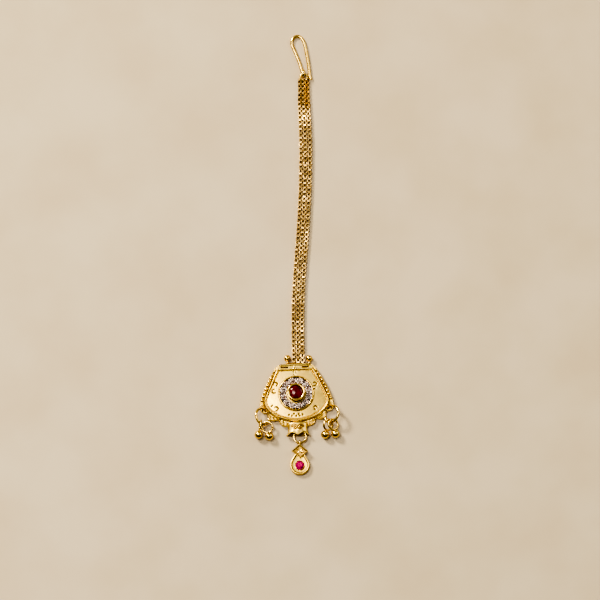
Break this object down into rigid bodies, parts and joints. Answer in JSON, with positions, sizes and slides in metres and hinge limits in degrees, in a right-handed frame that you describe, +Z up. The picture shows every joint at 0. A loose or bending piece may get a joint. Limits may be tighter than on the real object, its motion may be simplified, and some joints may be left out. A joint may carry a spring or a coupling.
{
  "type": "maang tikka",
  "caption": "Forehead jewel in gilt metal: box-link chain strands join a hair hook to a fan-shaped plate with a red stone in a halo of clear stones, ball drops at its corners and a pear drop.",
  "frame": {"origin": "on the surface that the jewel lies on, under the middle of its bounding box", "axes": "+Z up, out of the jewel's face; +Y along the chain towards the hair hook; +X to the right as the face is seen with the hook at the top"},
  "size_m": [0.0238, 0.1262, 0.0044],
  "materials": {
    "satin_gold": "satin gold plate",
    "polished_gold": "polished gold plate",
    "chain_gold": "bright gold plate",
    "silvered": "bright silver plate",
    "red_stone": "polished dome",
    "pink_stone": "faceted",
    "clear_stone": "faceted"
  },
  "bodies": {
    "root": {"hair_hook": "polished_gold", "end_ring": "polished_gold", "chain_left": "chain_gold", "chain_middle": "chain_gold", "chain_right": "chain_gold", "plate": "satin_gold", "halo_setting": "silvered", "centre_bezel": "polished_gold", "centre_stone": "red_stone", "halo_stone_01": "clear_stone", "halo_stone_02": "clear_stone", "halo_stone_03": "clear_stone", "halo_stone_04": "clear_stone", "halo_stone_05": "clear_stone", "halo_stone_06": "clear_stone", "halo_stone_07": "clear_stone", "halo_stone_08": "clear_stone", "halo_stone_09": "clear_stone", "halo_stone_10": "clear_stone", "halo_stone_11": "clear_stone", "halo_stone_12": "clear_stone", "side_ring_left": "polished_gold", "side_ring_right": "polished_gold", "ball_drop_left_outer": "polished_gold", "ball_drop_left_inner": "polished_gold", "ball_drop_right_inner": "polished_gold", "ball_drop_right_outer": "polished_gold", "drop_ring": "polished_gold", "drop": "satin_gold", "drop_stone": "pink_stone"}
  },
  "joints": []
}
